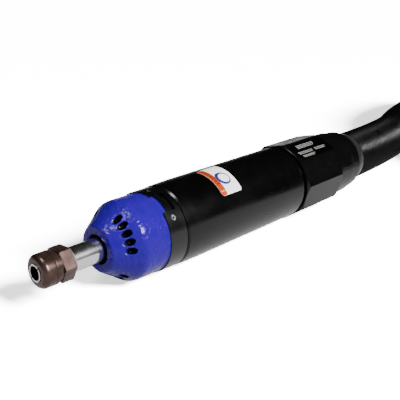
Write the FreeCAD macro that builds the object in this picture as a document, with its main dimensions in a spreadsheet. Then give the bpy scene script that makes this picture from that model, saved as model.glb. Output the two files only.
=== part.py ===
import FreeCAD, Part
import math
import os

import Sketcher
from FreeCAD import Placement, Rotation, Vector

# Straight air die grinder with a vane motor, a twist throttle at the rear and a
# hose-in-hose air line: a ribbed exhaust hose with the supply hose inside it.
#
# Frame: +X points out of the collet along the spindle axis, +Z is up and the origin
# is on the axis where the wall of the collet bore starts. A station is the distance
# behind the collet's front face, so x = face_x - station. Millimetres throughout.

SIZES = {
    # collet, nut and spindle
    "face_x": 0.5, "collet_bore_radius": 3.0, "collet_nose_radius": 4.2,
    "collet_shoulder_radius": 4.6, "collet_tail_radius": 3.8, "collet_end": 22.0,
    "collet_slot_width": 0.7, "collet_slot_length": 16.0,
    "nut_front": 0.4, "nut_end": 17.0, "nut_round_radius": 8.15, "nut_mouth_radius": 4.35,
    "nut_thread_radius": 5.62, "nut_hex_circumradius": 8.7, "nut_hex_start": 10.7,
    "nut_neck_radius": 7.3,
    "nut_boss_radius": 6.9, "nut_boss_bore_radius": 6.15,
    "spindle_front": 4.6, "spindle_thread_radius": 5.55, "spindle_shoulder": 17.2,
    "shaft_radius": 6.0, "shaft_core_radius": 4.4, "journal_radius": 4.0,
    "shaft_end": 138.5, "lock_thread_radius": 3.5,
    # nose cap and front ring
    "cap_front": 34.4, "cap_end": 66.0, "cap_mouth_radius": 7.4, "cap_face_radius": 11.5,
    "cap_radius": 20.7, "cap_cone_end": 47.8, "pocket_start": 40.5, "pocket_end": 56.8,
    "chamber_start": 44.8, "chamber_inner_radius": 15.2, "chamber_outer_radius": 17.8,
    "socket_start": 52.0, "socket_radius": 18.05, "vent_radius": 1.7, "vent_ring_radius": 16.3,
    "ring_front": 63.2, "ring_end": 74.7, "ring_radius": 21.3, "ring_lip_radius": 20.75,
    "ring_screw_station": 68.3, "ring_screw_radius": 1.5, "ring_notch_length": 2.6,
    "ring_slot_inset": 3.7, "ring_slot_end_inset": 3.4, "ring_slot_depth": 1.6,
    "ring_screw_root": 18.1, "ring_screw_head": 20.6, "ring_socket_circumradius": 0.87,
    "ring_socket_depth": 1.3,
    # casing, handle sleeve and label
    "casing_front": 52.5, "casing_end": 172.8, "casing_bore_radius": 16.0,
    "casing_radius": 18.6, "casing_spigot_radius": 18.0, "casing_flange_radius": 20.4,
    "casing_window_front": 82.0, "casing_window_end": 112.0, "casing_window_width": 4.5,
    "sleeve_front": 75.0, "sleeve_end": 173.4, "sleeve_radius": 22.0, "sleeve_bore_radius": 20.45,
    "label_front": 104.0, "label_end": 119.5, "label_thickness": 0.15,
    # front and rear bearings
    "front_bearing_start": 40.5, "front_bearing_width": 8.0, "front_race_outer_radius": 14.0,
    "front_pitch_radius": 10.0, "front_ball_radius": 2.0,
    "rear_bearing_start": 129.0, "rear_bearing_width": 6.0, "rear_race_outer_radius": 9.5,
    "rear_pitch_radius": 6.75, "rear_ball_radius": 1.5,
    # vane motor
    "motor_front": 66.0, "motor_end": 126.0, "liner_radius": 15.9, "liner_bore_radius": 12.05,
    "liner_offset": 1.2, "rotor_radius": 10.7, "rotor_slot_width": 1.6, "vane_thickness": 1.5,
    "vane_foot_radius": 5.35, "vane_tip_radius": 10.6, "rotor_slot_radius": 5.2,
    "plate_hole_radius": 7.5, "front_plate_front": 59.5, "rear_plate_end": 135.0,
    "dowel_radius": 1.25, "dowel_offset": 13.5, "dowel_front": 62.0, "dowel_end": 131.0,
    "liner_port_station": 84.0, "liner_port_pitch": 6.5, "plate_feed_offset": 12.2,
    "lock_circumradius": 6.4, "lock_front": 135.3, "lock_end": 138.3,
    # backhead, valve and twist throttle
    "backhead_front": 140.0, "stem_radius": 15.5, "stem_end": 246.0, "stem_bore_radius": 8.0,
    "feed_radius": 4.0, "duct_radius": 1.7, "duct_ring_radius": 10.9, "barb_radius": 13.4, "barb_end": 258.0,
    "throttle_front": 175.3, "throttle_end": 230.8, "throttle_bore_radius": 15.58,
    "throttle_corner_radius": 23.8, "throttle_facet_end": 212.0, "throttle_neck_radius": 20.7,
    "pin_station": 190.0, "pin_radius": 1.5, "spool_front": 182.0, "spool_end": 198.0,
    "spool_radius": 7.92, "port_radius": 2.4, "port_offset": 4.6,
    "pin_foot": 3.1, "pin_tip": 21.6, "pin_window_half_width": 1.7,
    "detent_station": 208.0, "detent_ball_radius": 1.5, "detent_floor": 9.7, "detent_ball_height": 14.45,
    "spring_foot": 9.85, "spring_length": 3.1, "spring_pitch": 0.55, "spring_radius": 1.15,
    "spring_wire_radius": 0.16,
    "plate_front": 178.0, "plate_end": 212.0, "plate_width": 13.6, "plate_thickness": 0.6,
    # hose collar, hoses and their far end
    "collar_front": 231.4, "collar_end": 241.0, "collar_radius": 19.6,
    "cuff_end": 250.0, "cuff_radius": 17.3,
    "hose_radius": 16.5, "hose_bore_radius": 13.5, "air_hose_radius": 7.5,
    "air_hose_bore_radius": 4.9, "inlet_thread_radius": 6.58, "end_cuff_length": 40.0,
    "outlet_radius": 1.9, "outlet_ring_radius": 11.3, "outlet_depth": 8.0, "nipple_hex_length": 8.0,
    "nipple_hex_circumradius": 9.78,
}

NUT_CORNER = 2.5                # degrees from +Y towards +Z of the nut's first corner
FACETS = 9                      # flats around the throttle sleeve
FIRST_CORNER = 4.0              # degrees from +Y towards +Z of its first corner
PLATE_ANGLE = FIRST_CORNER + 1.5 * 360.0 / FACETS
THROTTLE_TRAVEL = 40.0          # degrees from shut to fully open
PORT_STATION = 158.0            # where the exhaust turns into the backhead's ducts
DUCT_ANGLES = (0, 30, 60, 90, 120, 150, 180, 300)
DETENT_ANGLE = 330.0
PIN_ANGLE = 220.0
PIN_WINDOW_SPARE = 12.0         # degrees of window past the pin at each end of its travel
EXHAUST_ANGLES = (255.0, 285.0)             # rows of exhaust ports in the liner and casing
EXHAUST_ROWS = 5
FEED_ANGLES = (150.0, 170.0)                # air feeds through the rear end plate
STRAINER_RINGS = ((0.0, 1), (2.4, 6), (4.8, 12))    # radius of each ring of holes, and its holes
OUTLETS = 6                     # exhaust outlets in the hose's end cuff
VANES = 5
FRONT_BALLS = 9
REAR_BALLS = 8
VENT_GROUPS = (36.5, 156.5, 276.5)          # middle of each group of nose cap vents
VENTS_PER_GROUP = 5
VENT_STEP = 15.0
RING_WINDOWS = ((43.8, 75.6), (223.8, 255.6))
RING_SCREWS = (33.5, 90.0, 213.5, 270.0)
LABEL_SPAN = (36.5, 97.0)
SEAL_SECTION = 0.65             # radius of an O-ring's section
PLATE_CORNER = 3.0              # corner radius of the spec plate
MARGIN = 1.0                    # how far a cutting tool runs past the metal

# The hose leaves along -X, sinks to the surface that the tool lies on and sways a
# little towards -Y. Its coil turns once towards +Y, and the last stretch of the turn
# climbs over the first run, so that the far end lies on the coil.
HOSE_POINTS = [
    Vector(-249.5, 0.0, 0.0),
    Vector(-284.0, 0.0, 0.0),
    Vector(-338.0, -8.0, -1.0),
    Vector(-394.0, -32.0, -6.6),
    Vector(-452.0, -45.0, -6.6),
    Vector(-511.0, -45.0, -6.6),
]
COIL_RADII = (181.0, 179.0, 176.0, 176.0)   # one quarter turn each
COIL_CORNERS = 4                # corners of the route in each quarter turn
COIL_FIT = 0.98                 # share of the room between two corners that the arcs take up
COIL_CLIMB = 33.4               # height by which the coil's end crosses over its start
CLIMB_START, CLIMB_END = 260.0, 345.0       # degrees of turn between which it climbs
ARC_SHARE = 0.45                # share of the shorter run that an arc takes up

doc = FreeCAD.newDocument("die_grinder")
sheet = doc.addObject("Spreadsheet::Sheet", "Sizes")
for line, (alias, value) in enumerate(SIZES.items(), start=1):
    sheet.set("A%d" % line, alias)
    sheet.set("B%d" % line, str(value))
    sheet.setAlias("B%d" % line, alias)
doc.recompute()

AXIS = Placement(Vector(SIZES["face_x"], 0, 0), Rotation(Vector(0, 1, 0), 180))
# turns a primitive's own Z to +X, and its own X to +Y
FORWARD = Rotation(Vector(0, 1, 0), Vector(0, 0, 1), Vector(1, 0, 0), "ZXY")
nodes = {}


def number(size):
    """Value of a size: an alias, or an alias and what is added to it."""
    if isinstance(size, tuple):
        return SIZES[size[0]] + size[1]
    return SIZES[size]


def formula(size):
    """Spreadsheet expression of the same size."""
    if isinstance(size, tuple):
        return "Sizes.%s + %s" % (size[0], size[1])
    return "Sizes.%s" % size


def bind(obj, **sizes):
    """Bind properties of an object to sizes in the sheet."""
    for prop, size in sizes.items():
        obj.setExpression(prop, formula(size))
    return obj


def polar(station, radius, angle):
    """Point at a station and radius, at an angle from +Y towards +Z."""
    turn = math.radians(angle)
    return Vector(SIZES["face_x"] - station, radius * math.cos(turn), radius * math.sin(turn))


def outward(angle):
    """Rotation that points a primitive's own Z away from the axis."""
    turn = math.radians(angle)
    return Rotation(Vector(0, 0, 1), Vector(0, math.cos(turn), math.sin(turn)))


def keep(label, obj):
    """Make an object one of the sub-parts that are written out."""
    obj.Label = label
    nodes[label] = obj
    return obj


def turned(name, outline):
    """Solid of revolution about the axis from (station, radius) points."""
    body = doc.addObject("PartDesign::Body", name)
    body.Placement = AXIS
    plane = [f for f in body.Origin.OriginFeatures if f.Role == "XY_Plane"][0]
    sketch = body.newObject("Sketcher::SketchObject", name + "_outline")
    sketch.AttachmentSupport = [(plane, "")]
    sketch.MapMode = "FlatFace"
    spots = [Vector(number(s), number(r), 0) for s, r in outline]
    count = len(spots)
    for i in range(count):
        sketch.addGeometry(Part.LineSegment(spots[i], spots[(i + 1) % count]), False)
    for i in range(count):
        sketch.addConstraint(Sketcher.Constraint("Coincident", i, 2, (i + 1) % count, 1))
    for i, (station, radius) in enumerate(outline):
        for kind, size in (("DistanceX", station), ("DistanceY", radius)):
            row = sketch.addConstraint(Sketcher.Constraint(kind, -1, 1, i, 1, number(size)))
            sketch.setExpression("Constraints[%d]" % row, formula(size))
    doc.recompute()
    spin = body.newObject("PartDesign::Revolution", name + "_turn")
    spin.Profile = sketch
    spin.ReferenceAxis = (sketch, ["H_Axis"])
    spin.Angle = 360.0
    doc.recompute()
    sketch.Visibility = False
    return body


def rounded(body, size, *rims):
    """Fillet the round edges of a turned body at the given (station, radius) rims."""
    tip = body.Tip
    names = []
    for station, radius in rims:
        for i, edge in enumerate(tip.Shape.Edges, start=1):
            ring = edge.Curve
            if (isinstance(ring, Part.Circle) and abs(ring.Radius - number(radius)) < 1e-4
                    and abs(ring.Center.x - number(station)) < 1e-4):
                names.append("Edge%d" % i)
    fillet = body.newObject("PartDesign::Fillet", body.Name + "_round%d" % len(body.Group))
    fillet.Base = (tip, names)
    fillet.Radius = size
    doc.recompute()
    return body


def rod(radius, length, centre, rotation):
    """Cylinder from a centre point along its rotated Z."""
    tool = bind(doc.addObject("Part::Cylinder", "rod"), Radius=radius)
    tool.Height = length
    tool.Placement = Placement(centre, rotation)
    return tool


def axial_rod(radius, start, end, offset=0.0, angle=0.0):
    """Cylinder parallel to the axis between two stations."""
    first, last = number(start), number(end)
    return rod(radius, last - first, polar(last, offset, angle), FORWARD)


def radial_rod(radius, station, low, high, angle):
    """Cylinder that stands out from the axis between two radii."""
    return rod(radius, high - low, polar(station, low, angle), outward(angle))


def slab(start, end, width, low, high, angle):
    """Block between two stations and two heights above the axis, turned to an angle."""
    block = doc.addObject("Part::Box", "slab")
    block.Length, block.Width, block.Height = end - start, width, high - low
    corner = Placement(Vector(SIZES["face_x"] - end, -width / 2, low), Rotation())
    block.Placement = Placement(Vector(), Rotation(Vector(1, 0, 0), angle - 90)) * corner
    return block


def sector(start, end, inner, outer, first, last):
    """Part of a ring between two stations, radii and angles."""
    wedge = doc.addObject("Part::Cylinder", "sector")
    wedge.Radius, wedge.Height, wedge.Angle = outer, end - start, last - first
    wedge.Placement = Placement(polar(end, 0, 0), Rotation(Vector(1, 0, 0), first) * FORWARD)
    return cut("sector_ring", wedge, disc(inner, start, end))


def disc(radius, start, end):
    """Cylinder on the axis between two stations, from plain numbers."""
    tool = doc.addObject("Part::Cylinder", "disc")
    tool.Radius, tool.Height = radius, end - start
    tool.Placement = Placement(polar(end, 0, 0), FORWARD)
    return tool


def prism(sides, radius, start, end, corner, bound=None):
    """Prism on the axis between two stations with its first corner at an angle."""
    tool = doc.addObject("Part::Prism", "prism")
    tool.Polygon, tool.Circumradius, tool.Height = sides, radius, end - start
    if bound:
        bind(tool, Circumradius=bound)
    tool.Placement = Placement(polar(end, 0, 0), Rotation(Vector(1, 0, 0), corner) * FORWARD)
    return tool


def joined(name, pieces):
    """One solid or tool from several."""
    if len(pieces) == 1:
        return pieces[0]
    fuse = doc.addObject("Part::MultiFuse", name)
    fuse.Shapes = pieces
    return fuse


def cut(name, base, *tools):
    """Base with the tools taken away."""
    result = doc.addObject("Part::Cut", name)
    result.Base = base
    result.Tool = joined(name + "_tools", list(tools))
    return result


def group(name, pieces):
    """Separate solids that share a node."""
    bundle = doc.addObject("Part::Compound", name)
    bundle.Links = pieces
    return bundle


def plain(name, shape):
    """Sub-part whose shape comes from Part's own functions."""
    obj = doc.addObject("Part::Feature", name)
    obj.Shape = shape
    return obj


def make_collet():
    base = turned("collet_blank", [
        (("collet_end", -22.0), ("collet_bore_radius", 0.5)), (("collet_end", -22.0), "collet_nose_radius"),
        (("collet_end", -20.6), "collet_nose_radius"), (("collet_end", -19.4), "collet_shoulder_radius"),
        ("spindle_front", "collet_shoulder_radius"), ("collet_end", "collet_tail_radius"),
        ("collet_end", "collet_bore_radius"), ("face_x", "collet_bore_radius")])
    width, depth = number("collet_slot_width"), number("collet_shoulder_radius") + MARGIN
    slots = [slab(-MARGIN, number("collet_slot_length"), width, -depth, depth, a) for a in (45, 135)]
    keep("collet", cut("collet_cut", base, *slots))


def make_collet_nut():
    base = turned("nut_blank", [
        ("nut_front", "nut_mouth_radius"), ("nut_front", "nut_round_radius"),
        (("nut_front", 5.6), "nut_round_radius"), (("nut_front", 5.9), ("nut_round_radius", -0.25)),
        (("nut_front", 6.3), ("nut_round_radius", -0.25)), (("nut_front", 6.6), "nut_round_radius"),
        (("nut_front", 8.0), "nut_round_radius"), (("nut_front", 8.6), "nut_neck_radius"),
        ("nut_hex_start", "nut_neck_radius"),
        ("nut_hex_start", ("nut_hex_circumradius", -0.3)), (("nut_hex_start", 0.3), "nut_hex_circumradius"),
        (("nut_end", -0.3), "nut_hex_circumradius"),
        ("nut_end", ("nut_hex_circumradius", -0.3)), ("nut_end", "nut_boss_radius"),
        (("nut_end", 0.9), ("nut_boss_radius", -0.2)), (("nut_end", 1.2), ("nut_boss_radius", -0.5)),
        (("nut_end", 1.2), "nut_boss_bore_radius"), (("nut_end", -0.4), "nut_boss_bore_radius"),
        (("nut_end", -0.4), "nut_thread_radius"), ("spindle_front", "nut_thread_radius"),
        (("spindle_front", -1.2), ("collet_shoulder_radius", 0.2)),
        (("nut_front", 1.0), "nut_mouth_radius")])
    rounded(base, 2.6, ("nut_front", "nut_round_radius"))
    start, end = number("nut_hex_start") - 0.05, number("nut_end") + 0.05
    ring = disc(number("nut_hex_circumradius") + MARGIN, start, end)
    hexagon = prism(6, number("nut_hex_circumradius"), start, end, NUT_CORNER, "nut_hex_circumradius")
    keep("collet_nut", cut("nut_cut", base, cut("hex_cutter", ring, hexagon)))


def make_spindle():
    keep("spindle", turned("spindle_turned", [
        ("spindle_front", "collet_shoulder_radius"), ("spindle_front", ("spindle_thread_radius", -0.3)),
        (("spindle_front", 0.4), "spindle_thread_radius"), ("spindle_shoulder", "spindle_thread_radius"),
        ("spindle_shoulder", "shaft_radius"), ("motor_front", "shaft_radius"),
        ("motor_front", "shaft_core_radius"), ("motor_end", "shaft_core_radius"),
        ("motor_end", "journal_radius"), ("rear_plate_end", "journal_radius"),
        ("rear_plate_end", "lock_thread_radius"), ("shaft_end", "lock_thread_radius"),
        ("shaft_end", ("lock_thread_radius", -2.5)), (("collet_end", 2.0), ("lock_thread_radius", -2.5)),
        (("collet_end", 2.0), "collet_tail_radius"), ("collet_end", "collet_tail_radius")]))


def make_nose_cap():
    base = turned("cap_turned", [
        ("cap_front", "cap_mouth_radius"), ("cap_front", "cap_face_radius"),
        ("cap_cone_end", "cap_radius"), ("cap_end", "cap_radius"), ("cap_end", "socket_radius"),
        ("socket_start", "socket_radius"), ("socket_start", "chamber_outer_radius"),
        ("chamber_start", "chamber_outer_radius"), ("chamber_start", "chamber_inner_radius"),
        ("pocket_end", "chamber_inner_radius"), ("pocket_end", "front_race_outer_radius"),
        ("pocket_start", "front_race_outer_radius"), ("pocket_start", ("front_race_outer_radius", -2.6)),
        (("pocket_start", -1.5), ("front_race_outer_radius", -2.6)),
        (("pocket_start", -1.5), "cap_mouth_radius")])
    rounded(base, 7.0, ("cap_cone_end", "cap_radius"))
    rounded(base, 0.8, ("cap_front", "cap_face_radius"))
    middle = (VENTS_PER_GROUP - 1) / 2.0
    vents = [axial_rod("vent_radius", "cap_front", ("chamber_start", 1.0), number("vent_ring_radius"),
                       start + (i - middle) * VENT_STEP)
             for start in VENT_GROUPS for i in range(VENTS_PER_GROUP)]
    keep("nose_cap", cut("cap_cut", base, *vents))


def make_front_ring():
    base = turned("ring_turned", [
        ("ring_front", "ring_lip_radius"), ("ring_front", ("ring_radius", -0.3)),
        (("ring_front", 0.3), "ring_radius"), (("ring_end", -0.5), "ring_radius"),
        ("ring_end", ("ring_radius", -0.5)), ("ring_end", "socket_radius"),
        (("cap_end", 0.1), "socket_radius"), (("cap_end", 0.1), "ring_lip_radius")])
    front, end, outer = number("ring_front"), number("ring_end"), number("ring_radius") + MARGIN
    tools = []
    for first, last in RING_WINDOWS:
        notch_end, slot_front = front + number("ring_notch_length"), front + number("ring_slot_inset")
        slot_end, slot_floor = end - number("ring_slot_end_inset"), outer - MARGIN - number("ring_slot_depth")
        tools.append(sector(front - MARGIN, notch_end, number("cap_radius"), outer, first, last))
        tools.append(sector(slot_front, slot_end, slot_floor, outer, first, last))
    station = number("ring_screw_station")
    root, head = number("ring_screw_root"), number("ring_screw_head")
    for angle in RING_SCREWS:
        tools.append(radial_rod(("ring_screw_radius", 0.05), station, root - MARGIN, outer, angle))
    keep("front_ring", cut("ring_cut", base, *tools))
    screws = []
    for i, angle in enumerate(RING_SCREWS):
        body = radial_rod("ring_screw_radius", station, root, head, angle)
        socket = bind(doc.addObject("Part::Prism", "socket"), Circumradius="ring_socket_circumradius")
        depth = number("ring_socket_depth")
        socket.Polygon, socket.Height = 6, depth + MARGIN
        socket.Placement = Placement(polar(station, head - depth, angle), outward(angle))
        screws.append(cut("screw%d" % i, body, socket))
    keep("front_ring_screws", group("ring_screws", screws))


def make_casing():
    base = turned("casing_turned", [
        ("casing_front", ("chamber_inner_radius", 0.1)), ("casing_front", "casing_spigot_radius"),
        ("sleeve_front", "casing_spigot_radius"), ("sleeve_front", "casing_flange_radius"),
        (("sleeve_front", 4.0), "casing_flange_radius"), (("sleeve_front", 4.0), "casing_radius"),
        (("casing_end", -9.0), "casing_radius"), (("casing_end", -9.0), "casing_flange_radius"),
        ("casing_end", "casing_flange_radius"), ("casing_end", "casing_bore_radius"),
        ("front_plate_front", "casing_bore_radius"), ("front_plate_front", ("casing_bore_radius", -4.0)),
        (("front_plate_front", -2.0), ("casing_bore_radius", -4.0)),
        (("front_plate_front", -2.0), ("chamber_inner_radius", 0.1))])
    low, high = number("casing_bore_radius") - 2.0 * MARGIN, number("casing_radius") + MARGIN
    windows = [slab(number("casing_window_front"), number("casing_window_end"),
                    number("casing_window_width"), low, high, angle) for angle in EXHAUST_ANGLES]
    ports = [radial_rod(("port_radius", 0.2), PORT_STATION, low, high, angle) for angle in DUCT_ANGLES]
    keep("motor_casing", cut("casing_cut", base, *(windows + ports)))


def make_handle_sleeve():
    base = turned("sleeve_turned", [
        ("sleeve_front", "sleeve_bore_radius"), ("sleeve_front", ("sleeve_radius", -0.9)),
        (("sleeve_front", 1.0), ("sleeve_radius", -0.35)), (("sleeve_front", 7.0), ("sleeve_radius", -0.15)),
        (("sleeve_front", 16.0), "sleeve_radius"), ("sleeve_end", "sleeve_radius"),
        ("sleeve_end", "sleeve_bore_radius")])
    rounded(base, 1.5, ("sleeve_end", "sleeve_radius"))
    keep("handle_sleeve", base)
    inner = number("sleeve_radius")
    label = sector(number("label_front"), number("label_end"), inner,
                   inner + number("label_thickness"), *LABEL_SPAN)
    keep("body_label", label)


def race(name, start, width, inner, outer, pitch, groove):
    """Bearing race: a ring with the ball groove turned out of it."""
    ring = turned(name, [(start, inner), (start, outer), (width, outer), (width, inner)])
    track = doc.addObject("Part::Torus", name + "_track")
    track.Radius1, track.Radius2 = number(pitch), groove
    middle = (number(start) + number(width)) / 2
    # turned so that its seam doesn't lie on the ring's own seam
    track.Placement = Placement(polar(middle, 0, 0), Rotation(Vector(1, 0, 0), 30) * FORWARD)
    return cut(name + "_cut", ring, track)


def balls_and_cage(prefix, start, width, pitch, ball, count):
    """Balls spaced around a bearing, and the cage that holds them apart."""
    middle = (number(start) + number(width)) / 2
    balls, pockets = [], []
    for i in range(count):
        centre = polar(middle, number(pitch), 360.0 * i / count)
        for kind, extra in ((balls, 0.0), (pockets, 0.08)):
            sphere = doc.addObject("Part::Sphere", prefix + "_ball")
            sphere.Radius = number(ball) + extra
            sphere.Placement = Placement(centre, Rotation())
            kind.append(sphere)
    half, wall = number(ball) * 1.25, number(ball) * 0.3
    blank = disc(number(pitch) + wall, middle - half, middle + half)
    core = disc(number(pitch) - wall, middle - half, middle + half)
    return balls, cut(prefix + "_cage", blank, core, *pockets)


def make_front_bearings():
    clearance = number("front_ball_radius") + 0.12
    inner, outer, balls, cages = [], [], [], []
    for i in range(2):
        start = ("front_bearing_start", i * number("front_bearing_width") + 0.02)
        end = ("front_bearing_start", (i + 1) * number("front_bearing_width") - 0.02)
        inner.append(race("front_inner%d" % i, start, end, "shaft_radius", ("shaft_radius", 2.6),
                          "front_pitch_radius", clearance))
        outer.append(race("front_outer%d" % i, start, end, ("front_race_outer_radius", -2.6),
                          "front_race_outer_radius", "front_pitch_radius", clearance))
        more, cage = balls_and_cage("front%d" % i, start, end, "front_pitch_radius",
                                    "front_ball_radius", FRONT_BALLS)
        balls.extend(more)
        cages.append(cage)
    keep("front_bearing_inner_races", group("front_inner", inner))
    keep("front_bearing_outer_races", group("front_outer", outer))
    keep("front_bearing_balls", group("front_balls", balls))
    keep("front_bearing_cages", group("front_cages", cages))
    keep("preload_washer", turned("washer_turned", [
        (("pocket_end", -0.28), ("front_race_outer_radius", -0.9)),
        (("pocket_end", -0.28), ("front_race_outer_radius", -0.1)),
        (("pocket_end", 0.0), ("front_race_outer_radius", -0.1)),
        (("pocket_end", 0.68), ("front_race_outer_radius", -1.9)),
        (("pocket_end", 0.4), ("front_race_outer_radius", -1.9))]))


def make_rear_bearing():
    clearance = number("rear_ball_radius") + 0.12
    start, end = "rear_bearing_start", ("rear_bearing_start", number("rear_bearing_width"))
    keep("rear_bearing_inner_race", race("rear_inner", start, end, "journal_radius", ("journal_radius", 1.7),
                                         "rear_pitch_radius", clearance))
    keep("rear_bearing_outer_race", race("rear_outer", start, end, ("rear_race_outer_radius", -1.7),
                                         "rear_race_outer_radius", "rear_pitch_radius", clearance))
    balls, cage = balls_and_cage("rear", start, end, "rear_pitch_radius", "rear_ball_radius", REAR_BALLS)
    keep("rear_bearing_balls", group("rear_balls", balls))
    keep("rear_bearing_cage", cage)
    lock = prism(6, number("lock_circumradius"), number("lock_front"), number("lock_end"), 0,
                 "lock_circumradius")
    hole = axial_rod("lock_thread_radius", "rear_plate_end", ("shaft_end", MARGIN))
    keep("rear_lock_nut", cut("lock_cut", lock, hole))


def make_motor():
    front, end = number("motor_front"), number("motor_end")
    rotor = turned("rotor_turned", [
        (("motor_front", 0.15), "shaft_core_radius"), (("motor_front", 0.15), "rotor_radius"),
        (("motor_end", -0.15), "rotor_radius"), (("motor_end", -0.15), "shaft_core_radius")])
    angles = [90.0 + 360.0 * i / VANES for i in range(VANES)]
    slots = [slab(front - MARGIN, end + MARGIN, number("rotor_slot_width"), number("rotor_slot_radius"),
                  number("rotor_radius") + MARGIN, a) for a in angles]
    keep("rotor", cut("rotor_cut", rotor, *slots))
    vanes = [slab(front + 0.4, end - 0.4, number("vane_thickness"), number("vane_foot_radius"),
                  number("vane_tip_radius"), a) for a in angles]
    keep("vanes", group("vane_set", vanes))
    start = ("front_bearing_start", 2 * number("front_bearing_width") + 0.05)
    keep("spindle_spacer", turned("spacer_turned", [
        (start, "shaft_radius"), (start, ("shaft_radius", 1.2)),
        ("motor_front", ("shaft_radius", 1.2)), ("motor_front", "shaft_radius")]))
    liner = turned("liner_turned", [
        ("motor_front", "rotor_radius"), ("motor_front", "liner_radius"),
        ("motor_end", "liner_radius"), ("motor_end", "rotor_radius")])
    bore = axial_rod("liner_bore_radius", ("motor_front", -MARGIN), ("motor_end", MARGIN),
                     number("liner_offset"), -90.0)
    low, high = number("rotor_radius") - MARGIN, number("liner_radius") + MARGIN
    stations = [number("liner_port_station") + number("liner_port_pitch") * i for i in range(EXHAUST_ROWS)]
    exhaust = [radial_rod(("port_radius", -0.6), station, low, high, angle)
               for station in stations for angle in EXHAUST_ANGLES]
    dowel_hole = axial_rod("dowel_radius", ("motor_front", -MARGIN), ("motor_end", MARGIN),
                           number("dowel_offset"), 90.0)
    keep("cylinder_liner", cut("liner_cut", liner, bore, dowel_hole, *exhaust))
    keep("cylinder_dowel", axial_rod("dowel_radius", "dowel_front", "dowel_end",
                                     number("dowel_offset"), 90.0))
    plate = turned("front_plate_turned", [
        ("front_plate_front", "plate_hole_radius"), ("front_plate_front", "liner_radius"),
        ("motor_front", "liner_radius"), ("motor_front", "plate_hole_radius")])
    hole = axial_rod("dowel_radius", "dowel_front", ("motor_front", MARGIN), number("dowel_offset"), 90.0)
    keep("front_end_plate", cut("front_plate_cut", plate, hole))
    plate = turned("rear_plate_turned", [
        ("motor_end", ("journal_radius", 0.8)), ("motor_end", "liner_radius"),
        ("rear_plate_end", "liner_radius"), ("rear_plate_end", "rear_race_outer_radius"),
        ("rear_bearing_start", "rear_race_outer_radius"), ("rear_bearing_start", ("journal_radius", 3.6)),
        (("rear_bearing_start", -0.8), ("journal_radius", 3.6)),
        (("rear_bearing_start", -0.8), ("journal_radius", 0.8))])
    hole = axial_rod("dowel_radius", ("motor_end", -MARGIN), "dowel_end", number("dowel_offset"), 90.0)
    feeds = [axial_rod(("port_radius", -1.0), ("motor_end", -MARGIN), ("rear_plate_end", MARGIN),
                       number("plate_feed_offset"), angle) for angle in FEED_ANGLES]
    keep("rear_end_plate", cut("rear_plate_cut", plate, hole, *feeds))


def make_backhead():
    bore, stem = "stem_bore_radius", "stem_radius"
    groove = ("stem_radius", -1.3)
    base = turned("backhead_turned", [
        ("backhead_front", "feed_radius"), ("backhead_front", "liner_radius"),
        ("casing_end", "liner_radius"), ("casing_end", ("casing_flange_radius", -0.8)),
        (("throttle_front", -0.4), ("casing_flange_radius", -0.8)), (("throttle_front", -0.4), stem),
        (("throttle_front", 3.9), stem), (("throttle_front", 3.9), groove),
        (("throttle_front", 5.5), groove), (("throttle_front", 5.5), stem),
        (("throttle_end", -6.6), stem), (("throttle_end", -6.6), groove),
        (("throttle_end", -5.0), groove), (("throttle_end", -5.0), stem),
        (("throttle_end", -2.3), stem), (("throttle_end", -2.3), ("stem_radius", -0.7)),
        (("throttle_end", -1.1), ("stem_radius", -0.7)), (("throttle_end", -1.1), stem),
        (("collar_end", -5.0), stem), (("collar_end", -5.0), "barb_radius"), ("barb_end", "barb_radius"),
        ("barb_end", ("barb_radius", -0.7)), ("stem_end", ("barb_radius", -0.7)), ("stem_end", bore),
        (("spool_front", -6.0), bore), (("spool_front", -6.0), "feed_radius")])
    ducts = [axial_rod("duct_radius", "sleeve_end", ("stem_end", MARGIN), number("duct_ring_radius"), a)
             for a in DUCT_ANGLES]
    ducts += [axial_rod("duct_radius", ("casing_end", -17.0), ("sleeve_end", MARGIN),
                        number("duct_ring_radius"), a) for a in DUCT_ANGLES]
    outer = number(stem) + MARGIN
    ports = [radial_rod("duct_radius", PORT_STATION, number("duct_ring_radius"), outer, a)
             for a in DUCT_ANGLES]
    half = number("pin_window_half_width")
    window = sector(number("pin_station") - half, number("pin_station") + half, number(bore) - MARGIN, outer,
                    PIN_ANGLE - PIN_WINDOW_SPARE, PIN_ANGLE + THROTTLE_TRAVEL + PIN_WINDOW_SPARE)
    detent = radial_rod(("detent_ball_radius", 0.15), number("detent_station"), number("detent_floor"), outer,
                        DETENT_ANGLE)
    keep("backhead", cut("backhead_cut", base, window, detent, *(ducts + ports)))
    seals = []
    for station in (number("throttle_front") + 4.7, number("throttle_end") - 5.8):
        seals.append(seal(station, number(stem) - 0.6))
    keep("sleeve_seals", group("sleeve_seal_set", seals))


def seal(station, radius):
    """O-ring on the axis."""
    ring = doc.addObject("Part::Torus", "seal")
    ring.Radius1, ring.Radius2 = radius, SEAL_SECTION
    ring.Placement = Placement(polar(station, 0, 0), FORWARD)
    return ring


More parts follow.
